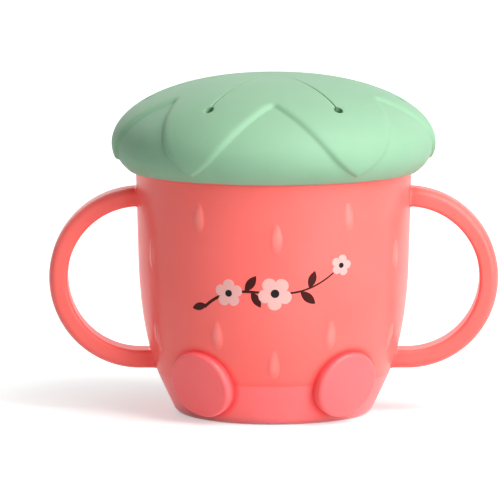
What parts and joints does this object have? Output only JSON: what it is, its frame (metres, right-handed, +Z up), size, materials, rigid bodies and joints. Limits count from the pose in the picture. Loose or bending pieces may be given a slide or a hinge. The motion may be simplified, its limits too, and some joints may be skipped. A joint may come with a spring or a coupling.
{
  "type": "toddler snack container",
  "caption": "Tapered toddler snack cup with loop handles, round front feet, and a soft leaf-shaped lid whose slit flaps let a small hand in",
  "frame": {"origin": "on the floor, under the middle of the cup", "axes": "+Z up along the cup's axis, +X towards the right handle, -Y towards the feet (the front)"},
  "size_m": [0.14, 0.1008, 0.1057],
  "materials": {
    "coral_plastic": "satin gloss",
    "mint_silicone": "matte"
  },
  "bodies": {
    "cup": {"cup_body": "coral_plastic", "handle_left": "coral_plastic", "handle_right": "coral_plastic", "foot_left": "coral_plastic", "foot_right": "coral_plastic"},
    "lid": {"lid_cover": "mint_silicone"},
    "flap_front": {"lid_flap_front": "mint_silicone"},
    "flap_front_right": {"lid_flap_front_right": "mint_silicone"},
    "flap_back_right": {"lid_flap_back_right": "mint_silicone"},
    "flap_back": {"lid_flap_back": "mint_silicone"},
    "flap_back_left": {"lid_flap_back_left": "mint_silicone"},
    "flap_front_left": {"lid_flap_front_left": "mint_silicone"}
  },
  "joints": [
    {"name": "lid_lift", "type": "slide", "parent": "cup", "child": "lid", "axis": [0, 0, 1], "range_m": [0, 0.06]},
    {"name": "flap_front_bend", "type": "hinge", "parent": "lid", "child": "flap_front", "pos_m": [0, -0.03421, 0.098], "axis": [-1, 0, 0], "range_deg": [-15, 55], "stiffness_Nm_per_rad": 0.04},
    {"name": "flap_front_right_bend", "type": "hinge", "parent": "lid", "child": "flap_front_right", "pos_m": [0.02962, -0.0171, 0.098], "axis": [-0.5, -0.866, 0], "range_deg": [-15, 55], "stiffness_Nm_per_rad": 0.04},
    {"name": "flap_back_right_bend", "type": "hinge", "parent": "lid", "child": "flap_back_right", "pos_m": [0.02962, 0.0171, 0.098], "axis": [0.5, -0.866, 0], "range_deg": [-15, 55], "stiffness_Nm_per_rad": 0.04},
    {"name": "flap_back_bend", "type": "hinge", "parent": "lid", "child": "flap_back", "pos_m": [0, 0.03421, 0.098], "axis": [1, 0, 0], "range_deg": [-15, 55], "stiffness_Nm_per_rad": 0.04},
    {"name": "flap_back_left_bend", "type": "hinge", "parent": "lid", "child": "flap_back_left", "pos_m": [-0.02962, 0.0171, 0.098], "axis": [0.5, 0.866, 0], "range_deg": [-15, 55], "stiffness_Nm_per_rad": 0.04},
    {"name": "flap_front_left_bend", "type": "hinge", "parent": "lid", "child": "flap_front_left", "pos_m": [-0.02962, -0.0171, 0.098], "axis": [-0.5, 0.866, 0], "range_deg": [-15, 55], "stiffness_Nm_per_rad": 0.04}
  ]
}
